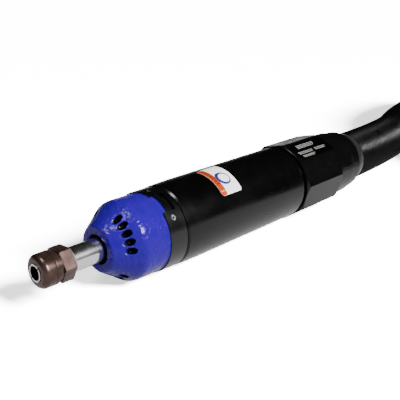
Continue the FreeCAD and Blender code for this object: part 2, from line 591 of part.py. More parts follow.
def make_valve():
    seat = axial_rod(("spool_radius", 0.03), ("spool_front", -5.9), ("spool_front", -0.1))
    port = axial_rod("port_radius", ("spool_front", -7.0), "spool_front", number("port_offset"), 90.0)
    keep("valve_seat", cut("seat_cut", seat, port))
    groove = ("spool_radius", -1.3)
    base = turned("spool_turned", [
        ("spool_front", "duct_radius"), ("spool_front", "spool_radius"),
        (("spool_front", 1.2), "spool_radius"), (("spool_front", 1.2), groove),
        (("spool_front", 2.8), groove), (("spool_front", 2.8), "spool_radius"),
        (("spool_end", -2.8), "spool_radius"), (("spool_end", -2.8), groove),
        (("spool_end", -1.2), groove), (("spool_end", -1.2), "spool_radius"),
        ("spool_end", "spool_radius"), ("spool_end", "duct_radius")])
    plug = axial_rod("duct_radius", "spool_front", "spool_end")
    port = axial_rod("port_radius", ("spool_front", -MARGIN), ("spool_end", MARGIN), number("port_offset"),
                     90.0 - THROTTLE_TRAVEL)
    station = number("pin_station")
    foot = number("pin_foot")
    seat = radial_rod(("pin_radius", 0.02), station, foot - 0.1, number("spool_radius") + MARGIN, PIN_ANGLE)
    keep("valve_spool", cut("spool_cut", joined("spool_solid", [base, plug]), port, seat))
    seals = [seal(number("spool_front") + 2.0, number("spool_radius") - 0.62),
             seal(number("spool_end") - 2.0, number("spool_radius") - 0.62)]
    keep("spool_seals", group("spool_seal_set", seals))
    keep("throttle_pin", radial_rod("pin_radius", station, foot, number("pin_tip"), PIN_ANGLE))
    make_detent()


def make_detent():
    """Ball that rests in the throttle sleeve's groove, and the spring behind it."""
    station = number("detent_station")
    sphere = bind(doc.addObject("Part::Sphere", "detent_sphere"), Radius="detent_ball_radius")
    sphere.Placement = Placement(polar(station, number("detent_ball_height"), DETENT_ANGLE), Rotation())
    keep("detent_ball", sphere)
    radius = number("spring_radius")
    coil = Part.makeHelix(number("spring_pitch"), number("spring_length"), radius)
    section = Part.Circle(Vector(radius, 0, 0), Vector(0, 1, 0), number("spring_wire_radius"))
    spring = plain("spring_coil", Part.Wire(coil).makePipeShell([Part.Wire(section.toShape())], True, True))
    spring.Placement = Placement(polar(station, number("spring_foot"), DETENT_ANGLE), outward(DETENT_ANGLE))
    keep("detent_spring", spring)


def rounded_slab(start, end, width, low, high, angle, corner):
    """Block with its four standing corners rounded."""
    block = slab(start, end, width, low, high, angle)
    doc.recompute()
    fillet = doc.addObject("Part::Fillet", "rounded_slab")
    fillet.Base = block
    fillet.Edges = [(edge, corner, corner) for edge in (1, 3, 5, 7)]
    return fillet


def make_throttle_sleeve():
    corner, bore = "throttle_corner_radius", "throttle_bore_radius"
    ball_groove = ("throttle_bore_radius", 0.6)
    base = turned("throttle_turned", [
        ("throttle_front", bore), ("throttle_front", ("throttle_corner_radius", -1.6)),
        (("throttle_front", 1.5), corner), ("throttle_facet_end", corner),
        (("throttle_facet_end", 3.8), "throttle_neck_radius"), ("throttle_end", "throttle_neck_radius"),
        ("throttle_end", ("throttle_neck_radius", -2.7)),
        (("throttle_end", -2.6), ("throttle_neck_radius", -2.7)), (("throttle_end", -2.6), bore),
        (("detent_station", 1.6), bore), (("detent_station", 1.6), ball_groove),
        (("detent_station", -1.6), ball_groove), (("detent_station", -1.6), bore)])
    rounded(base, 0.8, ("throttle_end", "throttle_neck_radius"))
    shape = prism(FACETS, number(corner), number("throttle_front") - MARGIN, number("throttle_end") + MARGIN,
                  FIRST_CORNER, corner)
    faceted = doc.addObject("Part::MultiCommon", "throttle_facets")
    faceted.Shapes = [base, shape]
    flat = number(corner) * math.cos(math.pi / FACETS)
    low, front, end = flat - number("plate_thickness"), number("plate_front"), number("plate_end")
    recess = rounded_slab(front - 0.1, end + 0.1, number("plate_width") + 0.2, low, flat + 2.0,
                          PLATE_ANGLE, PLATE_CORNER + 0.1)
    hole = radial_rod(("pin_radius", 0.02), number("pin_station"), 14.0, 26.0, PIN_ANGLE)
    keep("throttle_sleeve", cut("throttle_cut", faceted, recess, hole))
    keep("spec_plate", rounded_slab(front, end, number("plate_width"), low,
                                    low + number("plate_thickness") - 0.15, PLATE_ANGLE, PLATE_CORNER))
    ring = turned("circlip_turned", [
        (("throttle_end", -2.2), ("stem_radius", -0.6)), (("throttle_end", -2.2), ("stem_radius", 1.9)),
        (("throttle_end", -1.2), ("stem_radius", 1.9)), (("throttle_end", -1.2), ("stem_radius", -0.6))])
    gap = slab(number("throttle_end") - 4.0, number("throttle_end"), 5.0, 12.0, 20.0, 270.0)
    keep("retaining_ring", cut("circlip_cut", ring, gap))


def make_inlet():
    keep("inlet_bushing", turned("bushing_turned", [
        (("stem_end", -8.0), ("feed_radius", -0.6)), (("stem_end", -8.0), ("stem_bore_radius", -0.05)),
        ("stem_end", ("stem_bore_radius", -0.05)), ("stem_end", ("stem_bore_radius", 0.8)),
        (("stem_end", 2.6), ("stem_bore_radius", 0.8)), (("stem_end", 2.6), ("air_hose_bore_radius", -0.1)),
        (("stem_end", 16.0), ("air_hose_bore_radius", -0.1)), (("stem_end", 16.0), ("feed_radius", -0.6))]))
    screen = axial_rod(("stem_bore_radius", -0.05), ("stem_end", -9.2), ("stem_end", -8.1))
    front, back = ("stem_end", -10.0), ("stem_end", -7.0)
    holes = [axial_rod(("duct_radius", -1.1), front, back, ring, 360.0 * i / count)
             for ring, count in STRAINER_RINGS for i in range(count)]
    keep("inlet_strainer", cut("strainer_cut", screen, *holes))


def make_hose_collar():
    base = turned("collar_turned", [
        ("collar_front", "stem_radius"), ("collar_front", "collar_radius"), ("collar_end", "collar_radius"),
        ("collar_end", ("cuff_radius", 0.05)), (("collar_end", -5.0), ("cuff_radius", 0.05)),
        (("collar_end", -5.0), "stem_radius")])
    rounded(base, 1.3, ("collar_end", "collar_radius"))
    rounded(base, 0.8, ("collar_front", "collar_radius"))
    keep("hose_collar", base)
    keep("hose_cuff", turned("cuff_turned", [
        (("collar_end", -4.9), ("barb_radius", 0.05)), (("collar_end", -4.9), "cuff_radius"),
        (("cuff_end", -4.0), "cuff_radius"), ("cuff_end", ("hose_radius", 0.1)),
        ("cuff_end", ("barb_radius", 0.05))]))


def arced(points, reaches):
    """Straight runs joined by tangent arcs that reach so far along them, and the arcs' radii."""
    edges, radii, here = [], [], points[0]
    for before, corner, after, reach in zip(points, points[1:], points[2:], reaches):
        back, ahead = before - corner, after - corner
        half_turn = (math.pi - back.getAngle(ahead)) / 2
        start, end = corner + back.normalize() * reach, corner + ahead.normalize() * reach
        radius = reach / math.tan(half_turn)
        bulge = (start + end) / 2 - corner
        middle = corner + bulge.normalize() * (radius / math.cos(half_turn) - radius)
        edges.append(Part.LineSegment(here, start).toShape())
        edges.append(Part.Arc(start, middle, end).toShape())
        radii.append(round(radius))
        here = end
    edges.append(Part.LineSegment(here, points[-1]).toShape())
    return Part.Wire(edges), radii


def open_reaches(points):
    """How far each arc of the open stretch reaches along the shorter of its two runs."""
    runs = [(end - start).Length for start, end in zip(points, points[1:])]
    return [ARC_SHARE * min(pair) for pair in zip(runs, runs[1:])]


def climb(turned_by):
    """Height of the coil above its start once it has turned so many degrees."""
    share = min(max((turned_by - CLIMB_START) / (CLIMB_END - CLIMB_START), 0.0), 1.0)
    return COIL_CLIMB * share * share * (3 - 2 * share)


def coil_route(start):
    """Points of one turn, clockwise from a heading of -X, and the reach of each arc."""
    step = 90.0 / COIL_CORNERS
    half_step = math.radians(step / 2)
    points, reaches, here, away = [start], [], start, Vector(0, -1, 0)
    for quarter, radius in enumerate(COIL_RADII):
        centre = here - away * radius
        for i in range(COIL_CORNERS):
            turned_by = (i + 0.5) * step
            spoke = Rotation(Vector(0, 0, 1), -turned_by).multVec(away) * (radius / math.cos(half_step))
            points.append(centre + spoke + Vector(0, 0, climb(90.0 * quarter + turned_by)))
            reaches.append(COIL_FIT * radius * math.tan(half_step))
        away = Rotation(Vector(0, 0, 1), -90).multVec(away)
        here = centre + away * radius
    return points + [here + Vector(0, 0, COIL_CLIMB)], reaches


def swept(path, start, heading, radius):
    """Round bar of a radius along a path."""
    section = Part.Wire(Part.Circle(start, heading, radius).toShape())
    return path.makePipeShell([section], True, False)


def report_volume(name, shape, length, area):
    share = shape.Volume / (length * area)
    print("%s: length %.1f mm, volume over section x length %.4f" % (name, length, share))


def hollow_hose(name, path, outer, bore):
    """Tube along the open stretch of the hose."""
    start, heading = HOSE_POINTS[0], HOSE_POINTS[1] - HOSE_POINTS[0]
    tube = swept(path, start, heading, outer).cut(swept(path, start, heading, bore))
    report_volume(name, tube, path.Length, math.pi * (outer ** 2 - bore ** 2))
    keep(name, plain(name + "_tube", tube))


def make_hoses():
    """Exhaust hose, the air hose inside it and the coil, and where the coil ends."""
    path, radii = arced(HOSE_POINTS, open_reaches(HOSE_POINTS))
    hollow_hose("exhaust_hose", path, number("hose_radius"), number("hose_bore_radius"))
    hollow_hose("air_hose", path, number("air_hose_radius"), number("air_hose_bore_radius"))
    points, reaches = coil_route(HOSE_POINTS[-1])
    turn, coil_radii = arced(points, reaches)
    print("bend radii, mm:", radii, "and in the coil", coil_radii)
    coil = swept(turn, points[0], Vector(-1, 0, 0), number("hose_radius"))
    report_volume("exhaust_hose_coil", coil, turn.Length, math.pi * number("hose_radius") ** 2)
    keep("exhaust_hose_coil", plain("hose_coil", coil))
    print("length of the hose: %.1f mm" % (path.Length + turn.Length))
    return points[-1]


def make_hose_end(end):
    """Cuff with exhaust outlets and the threaded air inlet at the hose's far end."""
    start, rim, wall = ("end_cuff_length", -40.0), "end_cuff_length", ("end_cuff_length", -6.0)
    base = turned("end_cuff_turned", [
        (start, ("hose_bore_radius", -1.5)), (start, "hose_radius"), ((rim, -1.5), "hose_radius"),
        (rim, ("hose_radius", -1.5)), (rim, "inlet_thread_radius"), (wall, "inlet_thread_radius"),
        (wall, ("hose_bore_radius", -1.5))])
    base.Placement = Placement(end, AXIS.Rotation)
    outlets, ring = [], number("outlet_ring_radius")
    for i in range(OUTLETS):
        turn = 2 * math.pi * i / OUTLETS
        spot = end + Vector(-number(rim) - MARGIN, ring * math.cos(turn), ring * math.sin(turn))
        outlets.append(rod("outlet_radius", number("outlet_depth") + MARGIN, spot, FORWARD))
    keep("hose_end_cuff", cut("end_cuff_cut", base, *outlets))
    thread, bore = "inlet_thread_radius", "feed_radius"
    nipple = turned("nipple_turned", [
        (wall, bore), (wall, thread), (rim, thread), (rim, "nipple_hex_circumradius"),
        ((rim, 8.0), "nipple_hex_circumradius"), ((rim, 8.0), ("inlet_thread_radius", -0.6)),
        ((rim, 9.0), ("inlet_thread_radius", -0.6)), ((rim, 9.0), thread), ((rim, 20.0), thread),
        ((rim, 20.0), bore)])
    nipple.Placement = Placement(end, AXIS.Rotation)
    length = number("nipple_hex_length") + 0.2
    blank = bind(doc.addObject("Part::Cylinder", "nipple_ring"), Radius=("nipple_hex_circumradius", MARGIN))
    hexagon = bind(doc.addObject("Part::Prism", "nipple_hex"), Circumradius="nipple_hex_circumradius")
    hexagon.Polygon = 6
    for tool in (blank, hexagon):
        tool.Height = length
        tool.Placement = Placement(end - Vector(number(rim) + length - 0.1, 0, 0), FORWARD)
    keep("air_inlet_nipple", cut("nipple_cut", nipple, cut("nipple_hex_cutter", blank, hexagon)))
    print("air inlet thread starts at", end - Vector(number(rim) + 9.0, 0, 0))


def check_and_write():
    """Stop on any failed object or bad shape, then write one file for each sub-part."""
    doc.recompute()
    for obj in doc.Objects:
        if any(word in ("Invalid", "Error") for word in obj.State):
            raise RuntimeError("failed object: " + obj.Name + " " + obj.Label)
    for label, obj in nodes.items():
        if obj.Shape.isNull() or not obj.Shape.isValid() or obj.Shape.Volume <= 0:
            raise RuntimeError("bad shape: " + label)
    os.makedirs("parts", exist_ok=True)
    for label, obj in nodes.items():
        obj.Shape.exportStep("parts/%s.step" % label)
        print("%-28s %2d solids %10.1f mm3" % (label, len(obj.Shape.Solids), obj.Shape.Volume))
    print(len(nodes), "sub-parts")


for make in (make_collet, make_collet_nut, make_spindle, make_nose_cap, make_front_ring, make_casing,
             make_handle_sleeve, make_front_bearings, make_rear_bearing, make_motor, make_backhead,
             make_valve, make_throttle_sleeve, make_inlet, make_hose_collar):
    make()
make_hose_end(make_hoses())
check_and_write()
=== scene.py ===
import math
import random

import bpy
from mathutils import Matrix, Vector, noise


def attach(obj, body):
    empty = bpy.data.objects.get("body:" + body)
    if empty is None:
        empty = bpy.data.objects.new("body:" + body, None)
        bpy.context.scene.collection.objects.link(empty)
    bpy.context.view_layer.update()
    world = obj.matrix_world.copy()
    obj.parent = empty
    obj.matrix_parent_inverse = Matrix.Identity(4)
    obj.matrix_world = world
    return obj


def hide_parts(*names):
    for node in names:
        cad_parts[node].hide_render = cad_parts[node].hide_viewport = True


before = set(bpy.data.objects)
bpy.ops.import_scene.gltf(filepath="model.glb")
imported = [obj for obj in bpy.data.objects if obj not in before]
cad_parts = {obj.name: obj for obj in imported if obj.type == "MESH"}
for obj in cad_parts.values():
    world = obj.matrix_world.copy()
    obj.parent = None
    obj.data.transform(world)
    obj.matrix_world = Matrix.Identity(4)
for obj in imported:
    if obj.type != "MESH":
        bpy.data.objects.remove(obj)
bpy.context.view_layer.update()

# The part's own numbers, in metres. The axis is X, and the tool points along +X. A station
# is the distance behind the collet's front face. Angles are in degrees, from +Y towards +Z.
MM = 0.001
FACE_X = 0.5 * MM
FLOOR_Z = -23.1 * MM
SLEEVE_RADIUS = 22.0 * MM
CORNER_RADIUS = 23.8 * MM
FACETS = 9
FIRST_CORNER = 4.0
FLAT_HEIGHT = CORNER_RADIUS * math.cos(math.pi / FACETS)
PLATE_ANGLE = FIRST_CORNER + 540.0 / FACETS  # the middle of the second flat

# Masks on the nut and the collet: how far behind the origin the nut's boss starts, which is
# painted light grey as a highlight, the radius of the collet's bore, which is painted dark as
# shade, and a distance back that leaves nothing out.
NUT_HIGHLIGHT_FROM = 0.0166
COLLET_SHADED_BORE = 0.0035
EVERYWHERE = -1.0

# Nose cap: station and radius of its cone's two ends, the size and smoothing of its new
# skin's faces, the depth (mm) at which painted shade starts to darken a hollow and the
# depth over which it does, and the near-black colour of that painted shade.
# Then the coat's lumps: where they start, how far outward a face has to look to have them,
# how close together they are, and how high they rise and how deep they sit (mm).
CAP_FACE = (34.4 * MM, 11.5 * MM)
CAP_RIM = (47.8 * MM, 20.7 * MM)
CAP_VOXEL = 0.36 * MM
SOFTEN_FACTOR, SOFTEN_ROUNDS = 0.5, 2
HOLLOW_START, HOLLOW_FADE = 0.35, 0.5
HOLLOW_PAINTED_SHADE = (0.0008, 0.0008, 0.001)
LUMPY_FROM = 8.5 * MM
FACING_OUT = 0.2
COARSE_LUMPS, FINE_LUMPS, FINE_SHARE = 420.0, 900.0, 0.5
LUMP_HEIGHT, LUMP_SINK = 0.10, 0.05

# Warning label: its stations, corners and sizes are in mm, and its thicknesses in metres.
# The film comes first, then the band, the ring symbol, the triangle and the row of bars.
LABEL_STATIONS = (104.0, 119.5)
LABEL_ANGLES = (36.5, 97.0)
LABEL_CORNER = 1.6
FILM_THICKNESS = 0.12 * MM
INK_RISE = 0.02 * MM
BAND_START, BAND_END = 0.05, 4.2
BAND_INSET = 0.3
BAND_CORNER = 1.4
SYMBOL_STATION, SYMBOL_ANGLE = 112.4, 63.5
SYMBOL_OUTER, SYMBOL_INNER = 4.7, 3.3
SYMBOL_LEAN = (0.75, -0.1)
SYMBOL_ROOT = 0.05 * MM
TRIANGLE_STATION, TRIANGLE_ANGLE = 106.3, 46.0
TRIANGLE_SIZE = 2.1
TRIANGLE_RISE = 0.04 * MM
BAR_STATIONS = (105.2, 107.3)
BAR_COUNT = 7
BAR_FIRST, BAR_PITCH, BAR_TURN = 55.0, 5.2, 3.0
BAR_RISE = 0.035 * MM
PATCH_ROWS, PATCH_COLUMNS = 28, 14
RING_SIDES = 48

# Spec plate: each row's start and end station, its place across and its width, all in mm.
# Then the marks' lengths and gaps (mm), how far their feet and tops lie under the flat, and
# how much smaller a mark's top is than its foot.
PLATE_ROWS = (
    (184.0, 201.0, 4.4, 0.75), (184.0, 201.0, 3.3, 0.75), (184.0, 200.0, 2.2, 0.75),
    (180.0, 195.0, -1.2, 0.8), (180.5, 194.5, -2.4, 0.8), (197.0, 208.0, -1.2, 0.8),
    (197.0, 207.0, -2.4, 0.8), (181.5, 194.0, -4.4, 0.8), (182.0, 193.0, -5.4, 0.7))
PLATE_SEED = 7
MARK_LENGTHS, MARK_GAPS = (0.7, 2.4), (0.25, 0.45)
SHORTEST_MARK = 0.4
MARK_FOOT, MARK_TOP = 0.17 * MM, 0.11 * MM
MARK_TAPER = 0.03 * MM

# The hose: the points of its open stretch, then the quarter turns of its coil, which
# climbs between two angles of turn. Its ribs' crests stay just inside its diameter.
HOSE_DIAMETER = 33.0 * MM
HOSE_POINTS = [
    Vector((-0.2495, 0.0, 0.0)),
    Vector((-0.284, 0.0, 0.0)),
    Vector((-0.338, -0.008, -0.001)),
    Vector((-0.394, -0.032, -0.0066)),
    Vector((-0.452, -0.045, -0.0066)),
    Vector((-0.511, -0.045, -0.0066)),
]
COIL_RADII = (0.181, 0.179, 0.176, 0.176)
POINTS_PER_QUARTER = 4
COIL_CLIMB = 0.0334
CLIMB_START, CLIMB_END = 260.0, 345.0
RIB_PITCH = 2.25 * MM
RIB_DEPTH = 1.5 * MM
RIB_SHARPNESS = 2
RIB_STEPS = 4
CREST_MARGIN = 0.08 * MM
HOSE_SIDES = 32
ROUTE_STEPS = 24

# Camera: its place, the way it faces (degrees), its lens and sensor (mm), and what it clips.
CAMERA_PLACE = (0.13528, 0.22863, 0.12780)
CAMERA_HEADING, CAMERA_DROP = 223.62, 20.116
CAMERA_LENS, SENSOR_WIDTH = 58.23, 36.0
CLIP_NEAR, CLIP_FAR = 0.01, 50.0

# Studio: the floor as the camera sees it and as it lights the tool, the colours of the
# surroundings, and the lamp that lights the floor alone. Then the point that the soft boxes
# face, and each one's place, width and height (metres), and power (watts).
FLOOR_REACH = 6
FLOOR_SHOWN = 0.95
FLOOR_GLOW = 1.2
FLOOR_BOUNCE = 0.065
BACKDROP = (14.0, 14.0, 14.0)
SKY_HORIZON = (0.018, 0.018, 0.018)
SKY_ZENITH = (0.007, 0.007, 0.007)
HORIZON_LEVEL, ZENITH_LEVEL = 0.05, 0.38
WASH_FROM = (-0.04, 0.33, 0.23)
WASH_POWER = 80.0
WASH_SPREAD = 15.0
LIGHT_AIM = (-0.11, 0.0, 0.0)
SOFT_BOXES = (
    ("key_box", (-0.25, 0.95, 0.66), (0.20, 0.30), 36.0),
    ("top_box", (0.25, -0.04, 1.15), (0.30, 0.40), 12.0),
)

# Materials: the three depths of surface relief (metres), and where a noise's values lie.
FINE, MEDIUM, COARSE = 0.00005, 0.0001, 0.0004
NOISE_LOW, NOISE_HIGH = 0.3, 0.7

# Faces of a box with four corners below and then the four above them.
BOX_FACES = ((4, 5, 6, 7), (3, 2, 1, 0), (0, 1, 5, 4), (1, 2, 6, 5), (2, 3, 7, 6), (3, 0, 4, 7))


def polar(station, radius, angle):
    """Point at a station (mm) and radius (m), at an angle from +Y towards +Z."""
    turn = math.radians(angle)
    return Vector((FACE_X - station * MM, radius * math.cos(turn), radius * math.sin(turn)))


def turn_towards(thing, sight):
    """Rotation that makes a lamp or a camera face along a direction."""
    thing.rotation_mode = "QUATERNION"
    thing.rotation_quaternion = sight.to_track_quat("-Z", "Y")


# ---------------------------------------------------------------- camera

def make_camera():
    """Camera at the tool's front left, looking down at it."""
    data = bpy.data.cameras.new("camera")
    data.sensor_width = SENSOR_WIDTH
    data.lens = CAMERA_LENS
    data.clip_start, data.clip_end = CLIP_NEAR, CLIP_FAR
    camera = bpy.data.objects.new("camera", data)
    bpy.context.scene.collection.objects.link(camera)
    camera.location = CAMERA_PLACE
    heading, drop = math.radians(CAMERA_HEADING), math.radians(CAMERA_DROP)
    level = math.cos(drop)
    sight = Vector((level * math.cos(heading), level * math.sin(heading), -math.sin(drop)))
    turn_towards(camera, sight)
    bpy.context.scene.camera = camera


# ---------------------------------------------------------------- meshes

def add_mesh(name, verts, faces, smooth=False):
    """New object in the scene from corners and faces."""
    mesh = bpy.data.meshes.new(name)
    mesh.from_pydata([tuple(v) for v in verts], [], faces)
    mesh.validate()
    mesh.update()
    piece = bpy.data.objects.new(name, mesh)
    bpy.context.scene.collection.objects.link(piece)
    if smooth:
        mesh.shade_smooth()
    return piece


def box_faces(first):
    """Faces of a box whose eight corners start at a vertex."""
    return [tuple(first + k for k in face) for face in BOX_FACES]


def climb(turned_by):
    """Height of the coil above its start once it has turned so many degrees."""
    share = min(max((turned_by - CLIMB_START) / (CLIMB_END - CLIMB_START), 0.0), 1.0)
    return COIL_CLIMB * share * share * (3 - 2 * share)


def coil_points():
    """Control points of one turn: the last stretch climbs over the hose's own first run."""
    step = 90.0 / POINTS_PER_QUARTER
    here, away, points = HOSE_POINTS[-1].copy(), Vector((0, -1, 0)), []
    for quarter, radius in enumerate(COIL_RADII):
        centre = here - away * radius
        for i in range(POINTS_PER_QUARTER):
            turned_by = (i + 0.5) * step
            spoke = Matrix.Rotation(-math.radians(turned_by), 3, "Z") @ away
            corner = centre + spoke * radius / math.cos(math.radians(step / 2))
            points.append(corner + Vector((0, 0, climb(90.0 * quarter + turned_by))))
        away = Matrix.Rotation(-math.pi / 2, 3, "Z") @ away
        here = centre + away * radius
    return points + [here + Vector((0, 0, COIL_CLIMB))]


def route_curve(points):
    """NURBS spline with the route's points as its control points."""
    curve = bpy.data.curves.new("hose_route", "CURVE")
    curve.dimensions = "3D"
    curve.resolution_u = ROUTE_STEPS
    spline = curve.splines.new("NURBS")
    spline.points.add(len(points) - 1)
    for point, place in zip(spline.points, points):
        point.co = (*place, 1.0)
    spline.order_u = 3
    spline.use_endpoint_u = True
    return bpy.data.objects.new("hose_route", curve)


def resampled(line, step):
    """Points at even steps along a polyline."""
    out, left = [line[0].copy()], step
    for a, b in zip(line, line[1:]):
        length, gone = (b - a).length, 0.0
        while length - gone >= left:
            gone += left
            out.append(a.lerp(b, gone / length))
            left = step
        left -= length - gone
    return out


def make_hose():
    """Ribbed exhaust hose along the route's own spline."""
    route = route_curve(HOSE_POINTS[:-1] + coil_points())
    line = [v.co.copy() for v in bpy.data.meshes.new_from_object(route).vertices]
    path = resampled(line, RIB_PITCH / RIB_STEPS)
    crest = HOSE_DIAMETER / 2 - CREST_MARGIN
    verts, faces = [], []
    for i, centre in enumerate(path):
        along = (path[min(i + 1, len(path) - 1)] - path[max(i - 1, 0)]).normalized()
        side = along.cross(Vector((0, 0, 1))).normalized()
        up = side.cross(along)
        phase = 2 * math.pi * i / RIB_STEPS
        radius = crest - RIB_DEPTH * (0.5 - 0.5 * math.cos(phase)) ** RIB_SHARPNESS
        for k in range(HOSE_SIDES):
            turn = 2 * math.pi * k / HOSE_SIDES
            verts.append(centre + radius * (math.cos(turn) * side + math.sin(turn) * up))
    for i in range(len(path) - 1):
        for k in range(HOSE_SIDES):
            a, b = i * HOSE_SIDES + k, i * HOSE_SIDES + (k + 1) % HOSE_SIDES
            faces.append((a, b, b + HOSE_SIDES, a + HOSE_SIDES))
    faces.append(tuple(range(HOSE_SIDES)))
    faces.append(tuple(reversed(range(len(verts) - HOSE_SIDES, len(verts)))))
    hose = add_mesh("ribbed_hose", verts, faces, smooth=True)
    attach(hose, "housing")
    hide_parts("exhaust_hose", "exhaust_hose_coil")
    return hose


def curved_patch(name, stations, angles, low, high, corner):
    """Thin sheet with rounded corners (mm) wrapped on the round body."""
    rows, columns = PATCH_ROWS, PATCH_COLUMNS
    first, last = stations
    mean = (low + high) / 2
    verts = []
    for radius in (low, high):
        for i in range(columns + 1):
            # stations crowd towards both ends so that the corners come out round
            share = 0.5 - 0.5 * math.cos(math.pi * i / columns)
            station = first + (last - first) * share
            edge = min(station - first, last - station)
            inset = 0.0
            if edge < corner:
                inset = corner - math.sqrt(max(corner ** 2 - (corner - edge) ** 2, 0.0))
            trim = math.degrees(inset * MM / mean)
            for j in range(rows + 1):
                angle = angles[0] + trim + (angles[1] - angles[0] - 2 * trim) * j / rows
                verts.append(polar(station, radius, angle))
    return closed_sheet(name, verts, rows, columns)


def closed_sheet(name, verts, rows, columns):
    """Two grids of points, under and over, joined along their rims."""
    sheet = (rows + 1) * (columns + 1)

    def at(layer, i, j):
        return layer * sheet + i * (rows + 1) + j

    faces = []
    for i in range(columns):
        for j in range(rows):
            faces.append((at(1, i, j), at(1, i + 1, j), at(1, i + 1, j + 1), at(1, i, j + 1)))
            faces.append((at(0, i, j), at(0, i, j + 1), at(0, i + 1, j + 1), at(0, i + 1, j)))
    for i in range(columns):
        for j, flip in ((0, False), (rows, True)):
            rim = (at(0, i, j), at(0, i + 1, j), at(1, i + 1, j), at(1, i, j))
            faces.append(tuple(reversed(rim)) if flip else rim)
    for j in range(rows):
        for i, flip in ((0, True), (columns, False)):
            rim = (at(0, i, j), at(0, i, j + 1), at(1, i, j + 1), at(1, i, j))
            faces.append(tuple(reversed(rim)) if flip else rim)
    return add_mesh(name, verts, faces)


# ---------------------------------------------------------------- material groups

def new_group(name, inputs, outputs):
    """Empty node group with number sockets, and its two end nodes."""
    tree = bpy.data.node_groups.new(name, "ShaderNodeTree")
    for label, default in inputs:
        socket = tree.interface.new_socket(label, in_out="INPUT", socket_type="NodeSocketFloat")
        socket.default_value = default
    for label in outputs:
        tree.interface.new_socket(label, in_out="OUTPUT", socket_type="NodeSocketFloat")
    return tree, tree.nodes.new("NodeGroupInput"), tree.nodes.new("NodeGroupOutput")


def grain_group():
    """Fine even texture of paint, rubber and moulded plastic."""
    tree, source, result = new_group("fine_grain", [("Scale", 900.0), ("Detail", 3.0)], ["Height"])
    place = tree.nodes.new("ShaderNodeTexCoord")
    pattern = tree.nodes.new("ShaderNodeTexNoise")
    tree.links.new(place.outputs["Object"], pattern.inputs["Vector"])
    tree.links.new(source.outputs["Scale"], pattern.inputs["Scale"])
    tree.links.new(source.outputs["Detail"], pattern.inputs["Detail"])
    tree.links.new(pattern.outputs["Fac"], result.inputs["Height"])
    return tree


def blotch_group():
    """Broad uneven patches, from Low to High, of handling and oil."""
    tree, source, result = new_group(
        "handling_patches", [("Scale", 60.0), ("Low", 0.3), ("High", 0.5)], ["Value"])
    place = tree.nodes.new("ShaderNodeTexCoord")
    pattern = tree.nodes.new("ShaderNodeTexNoise")
    pattern.inputs["Detail"].default_value = 5.0
    span = tree.nodes.new("ShaderNodeMapRange")
    span.inputs["From Min"].default_value = NOISE_LOW
    span.inputs["From Max"].default_value = NOISE_HIGH
    tree.links.new(place.outputs["Object"], pattern.inputs["Vector"])
    tree.links.new(source.outputs["Scale"], pattern.inputs["Scale"])
    tree.links.new(pattern.outputs["Fac"], span.inputs["Value"])
    tree.links.new(source.outputs["Low"], span.inputs["To Min"])
    tree.links.new(source.outputs["High"], span.inputs["To Max"])
    tree.links.new(span.outputs["Result"], result.inputs["Value"])
    return tree


def lathe_group():
    """Rings that a lathe tool leaves around the axis."""
    tree, source, result = new_group(
        "lathe_rings", [("Scale", 4000.0), ("Wobble", 40.0)], ["Height"])
    place = tree.nodes.new("ShaderNodeTexCoord")
    split = tree.nodes.new("ShaderNodeSeparateXYZ")
    along = tree.nodes.new("ShaderNodeMath")
    along.operation = "MULTIPLY"
    around = tree.nodes.new("ShaderNodeVectorMath")
    around.operation = "SCALE"
    flat = tree.nodes.new("ShaderNodeCombineXYZ")
    pattern = tree.nodes.new("ShaderNodeTexNoise")
    pattern.inputs["Scale"].default_value = 1.0
    pattern.inputs["Detail"].default_value = 2.0
    tree.links.new(place.outputs["Object"], around.inputs[0])
    tree.links.new(source.outputs["Wobble"], around.inputs["Scale"])
    tree.links.new(around.outputs["Vector"], split.inputs["Vector"])
    straight = tree.nodes.new("ShaderNodeSeparateXYZ")
    tree.links.new(place.outputs["Object"], straight.inputs["Vector"])
    tree.links.new(straight.outputs["X"], along.inputs[0])
    tree.links.new(source.outputs["Scale"], along.inputs[1])
    tree.links.new(along.outputs["Value"], flat.inputs["X"])
    tree.links.new(split.outputs["Y"], flat.inputs["Y"])
    tree.links.new(split.outputs["Z"], flat.inputs["Z"])
    tree.links.new(flat.outputs["Vector"], pattern.inputs["Vector"])
    tree.links.new(pattern.outputs["Fac"], result.inputs["Height"])
    return tree


def region_group():
    """Masks of what lies more than Back behind the origin, and of that space inside Radius."""
    tree, source, result = new_group(
        "axis_regions", [("Radius", 0.003), ("Back", 0.0)], ["Inside", "Behind"])
    place = tree.nodes.new("ShaderNodeTexCoord")
    split = tree.nodes.new("ShaderNodeSeparateXYZ")
    flat = tree.nodes.new("ShaderNodeCombineXYZ")
    reach = tree.nodes.new("ShaderNodeVectorMath")
    reach.operation = "LENGTH"
    back, behind, near, inside = (tree.nodes.new("ShaderNodeMath") for _ in range(4))
    back.operation, behind.operation = "MULTIPLY", "GREATER_THAN"
    near.operation, inside.operation = "LESS_THAN", "MULTIPLY"
    back.inputs[1].default_value = -1.0
    tree.links.new(place.outputs["Object"], split.inputs["Vector"])
    tree.links.new(split.outputs["X"], back.inputs[0])
    tree.links.new(back.outputs["Value"], behind.inputs[0])
    tree.links.new(source.outputs["Back"], behind.inputs[1])
    tree.links.new(split.outputs["Y"], flat.inputs["Y"])
    tree.links.new(split.outputs["Z"], flat.inputs["Z"])
    tree.links.new(flat.outputs["Vector"], reach.inputs[0])
    tree.links.new(reach.outputs["Value"], near.inputs[0])
    tree.links.new(source.outputs["Radius"], near.inputs[1])
    tree.links.new(near.outputs["Value"], inside.inputs[0])
    tree.links.new(behind.outputs["Value"], inside.inputs[1])
    tree.links.new(inside.outputs["Value"], result.inputs["Inside"])
    tree.links.new(behind.outputs["Value"], result.inputs["Behind"])
    return tree


GRAIN, BLOTCH, LATHE, REGION = grain_group(), blotch_group(), lathe_group(), region_group()


